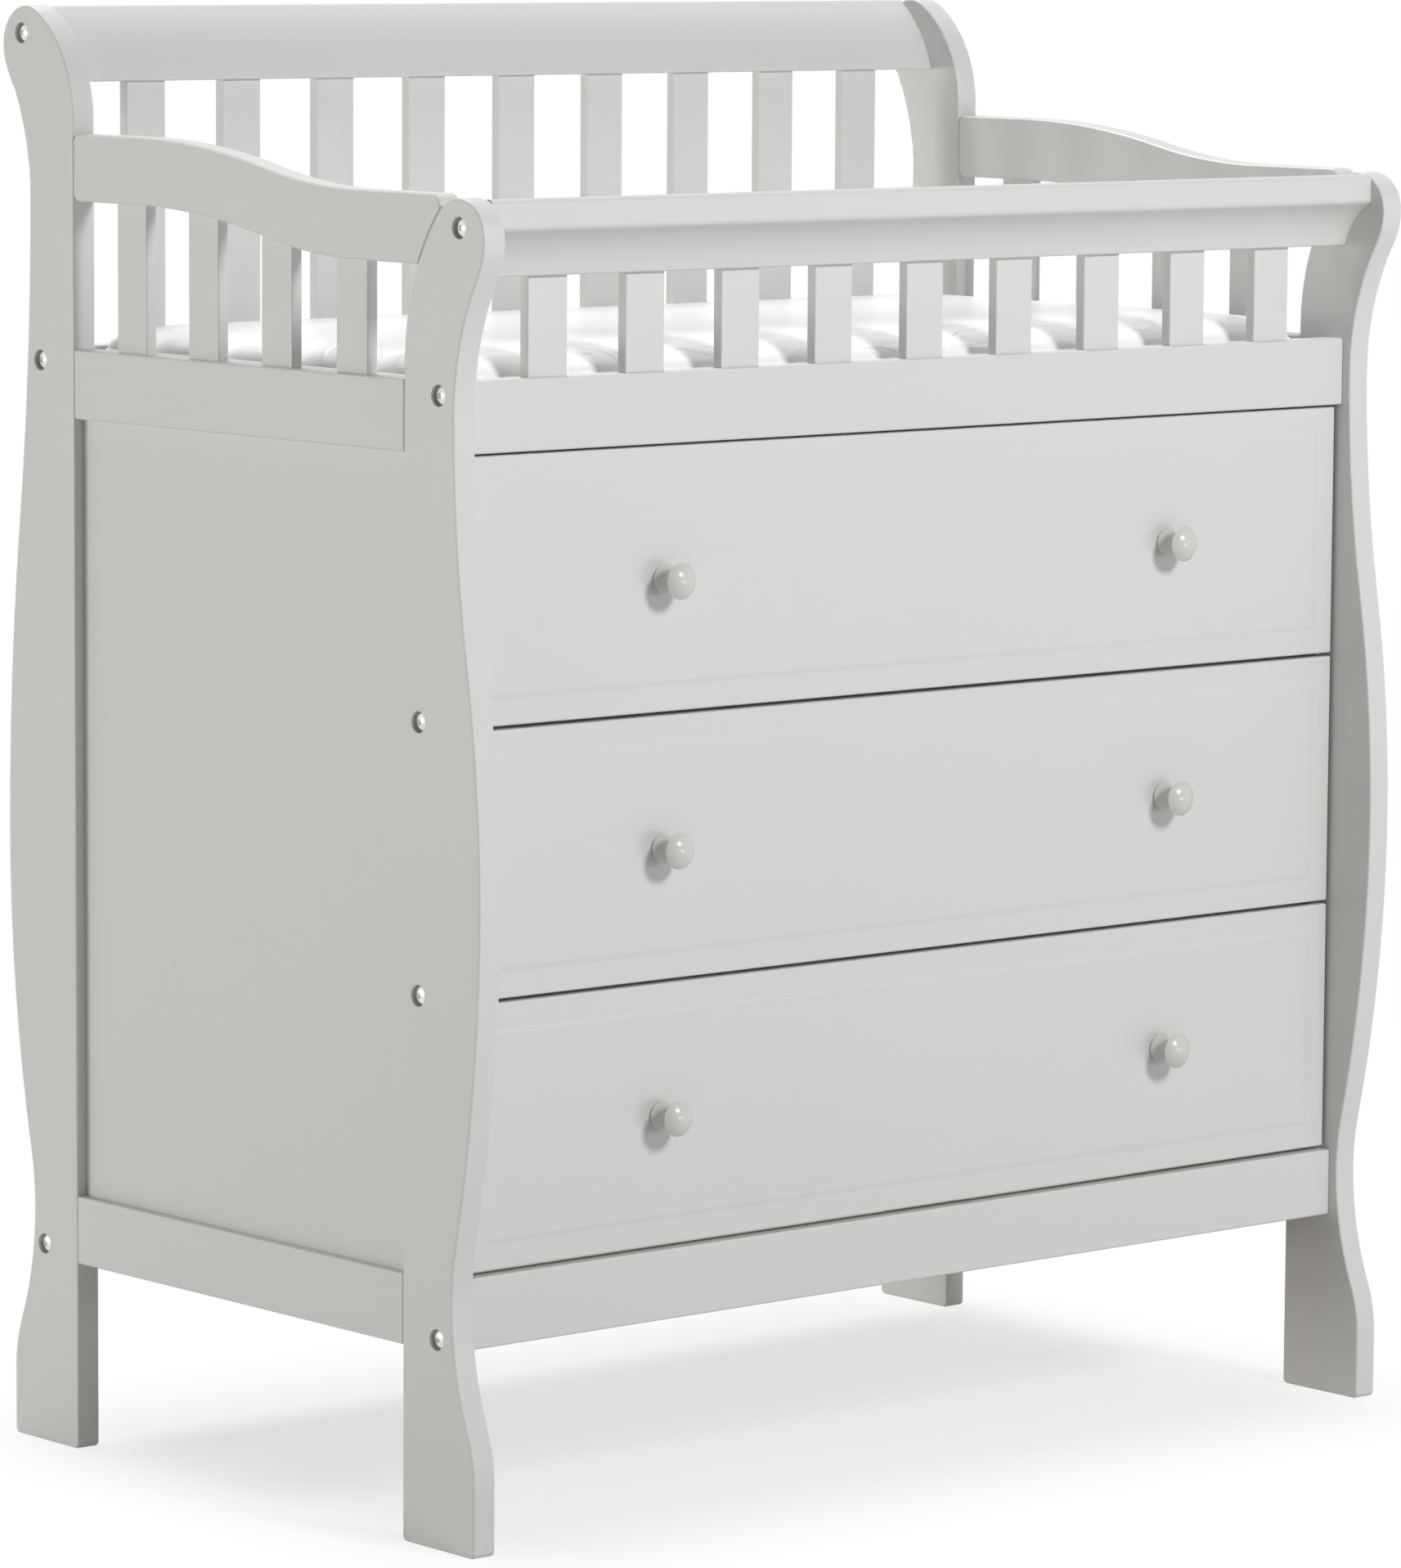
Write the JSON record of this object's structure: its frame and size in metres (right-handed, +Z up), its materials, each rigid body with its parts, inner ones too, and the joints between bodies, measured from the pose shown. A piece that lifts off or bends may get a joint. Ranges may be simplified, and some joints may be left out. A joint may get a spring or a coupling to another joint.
{
  "type": "changing dresser",
  "caption": "Painted changing dresser: a chest of sliding drawers with turned knobs, and on top a slatted tray that holds a removable soft pad.",
  "frame": {"origin": "on the floor, under the middle of the dresser's outer box", "axes": "+Z is up, the drawers open towards -Y, +X is to the right of someone who faces the drawers"},
  "size_m": [0.88, 0.556, 1.051],
  "materials": {
    "paint": "light grey satin paint on wood",
    "drawer_box": "lacquered bare wood",
    "hardware": "bright zinc and nickel plate",
    "roller": "off-white nylon",
    "pad_cover": "white wipe-clean vinyl"
  },
  "bodies": {
    "carcass": {"left_front_post": "paint", "left_back_post": "paint", "left_arm_rail": "paint", "left_tray_rail": "paint", "left_bottom_rail": "paint", "left_side_panel": "paint", "left_side_slats": "paint", "right_front_post": "paint", "right_back_post": "paint", "right_arm_rail": "paint", "right_tray_rail": "paint", "right_bottom_rail": "paint", "right_side_panel": "paint", "right_side_slats": "paint", "front_top_rail": "paint", "front_lower_rail": "paint", "front_apron": "paint", "front_slats": "paint", "back_top_rail": "paint", "back_lower_rail": "paint", "back_bottom_rail": "paint", "back_slats": "paint", "back_panel": "paint", "tray_board": "paint", "upper_divider": "paint", "lower_divider": "paint", "frame_bolts": "hardware", "barrel_nuts": "hardware", "carcass_runners": "hardware"},
    "drawer_1": {"drawer_1_front": "paint", "drawer_1_left_side": "drawer_box", "drawer_1_right_side": "drawer_box", "drawer_1_back": "drawer_box", "drawer_1_bottom": "drawer_box", "drawer_1_knobs": "paint", "drawer_1_knob_screws": "hardware", "drawer_1_runners": "hardware"},
    "drawer_1_rear_rollers": {"drawer_1_rear_rollers": "roller"},
    "front_rollers_1": {"front_rollers_1": "roller"},
    "drawer_2": {"drawer_2_front": "paint", "drawer_2_left_side": "drawer_box", "drawer_2_right_side": "drawer_box", "drawer_2_back": "drawer_box", "drawer_2_bottom": "drawer_box", "drawer_2_knobs": "paint", "drawer_2_knob_screws": "hardware", "drawer_2_runners": "hardware"},
    "drawer_2_rear_rollers": {"drawer_2_rear_rollers": "roller"},
    "front_rollers_2": {"front_rollers_2": "roller"},
    "drawer_3": {"drawer_3_front": "paint", "drawer_3_left_side": "drawer_box", "drawer_3_right_side": "drawer_box", "drawer_3_back": "drawer_box", "drawer_3_bottom": "drawer_box", "drawer_3_knobs": "paint", "drawer_3_knob_screws": "hardware", "drawer_3_runners": "hardware"},
    "drawer_3_rear_rollers": {"drawer_3_rear_rollers": "roller"},
    "front_rollers_3": {"front_rollers_3": "roller"},
    "pad": {"changing_pad": "pad_cover"}
  },
  "joints": [
    {"name": "drawer_1_slide", "type": "slide", "parent": "carcass", "child": "drawer_1", "axis": [0, -1, 0], "range_m": [0, 0.3]},
    {"name": "front_rollers_1_turn", "type": "hinge", "parent": "carcass", "child": "front_rollers_1", "pos_m": [0, -0.2, 0.59437], "axis": [1, 0, 0], "continuous": true},
    {"name": "rear_rollers_1_turn", "type": "hinge", "parent": "drawer_1", "child": "drawer_1_rear_rollers", "pos_m": [0, 0.187, 0.59437], "axis": [1, 0, 0], "continuous": true},
    {"name": "drawer_2_slide", "type": "slide", "parent": "carcass", "child": "drawer_2", "axis": [0, -1, 0], "range_m": [0, 0.3]},
    {"name": "front_rollers_2_turn", "type": "hinge", "parent": "carcass", "child": "front_rollers_2", "pos_m": [0, -0.2, 0.40573], "axis": [1, 0, 0], "continuous": true},
    {"name": "rear_rollers_2_turn", "type": "hinge", "parent": "drawer_2", "child": "drawer_2_rear_rollers", "pos_m": [0, 0.187, 0.40573], "axis": [1, 0, 0], "continuous": true},
    {"name": "drawer_3_slide", "type": "slide", "parent": "carcass", "child": "drawer_3", "axis": [0, -1, 0], "range_m": [0, 0.3]},
    {"name": "front_rollers_3_turn", "type": "hinge", "parent": "carcass", "child": "front_rollers_3", "pos_m": [0, -0.2, 0.2171], "axis": [1, 0, 0], "continuous": true},
    {"name": "rear_rollers_3_turn", "type": "hinge", "parent": "drawer_3", "child": "drawer_3_rear_rollers", "pos_m": [0, 0.187, 0.2171], "axis": [1, 0, 0], "continuous": true},
    {"name": "pad_lift", "type": "slide", "parent": "carcass", "child": "pad", "axis": [0, 0, 1], "range_m": [0, 0.15]}
  ],
  "couplings": [
    {"joint": "front_rollers_1_turn", "follows": "drawer_1_slide", "rad_per_m": 100},
    {"joint": "rear_rollers_1_turn", "follows": "drawer_1_slide", "rad_per_m": 100},
    {"joint": "front_rollers_2_turn", "follows": "drawer_2_slide", "rad_per_m": 100},
    {"joint": "rear_rollers_2_turn", "follows": "drawer_2_slide", "rad_per_m": 100},
    {"joint": "front_rollers_3_turn", "follows": "drawer_3_slide", "rad_per_m": 100},
    {"joint": "rear_rollers_3_turn", "follows": "drawer_3_slide", "rad_per_m": 100}
  ]
}
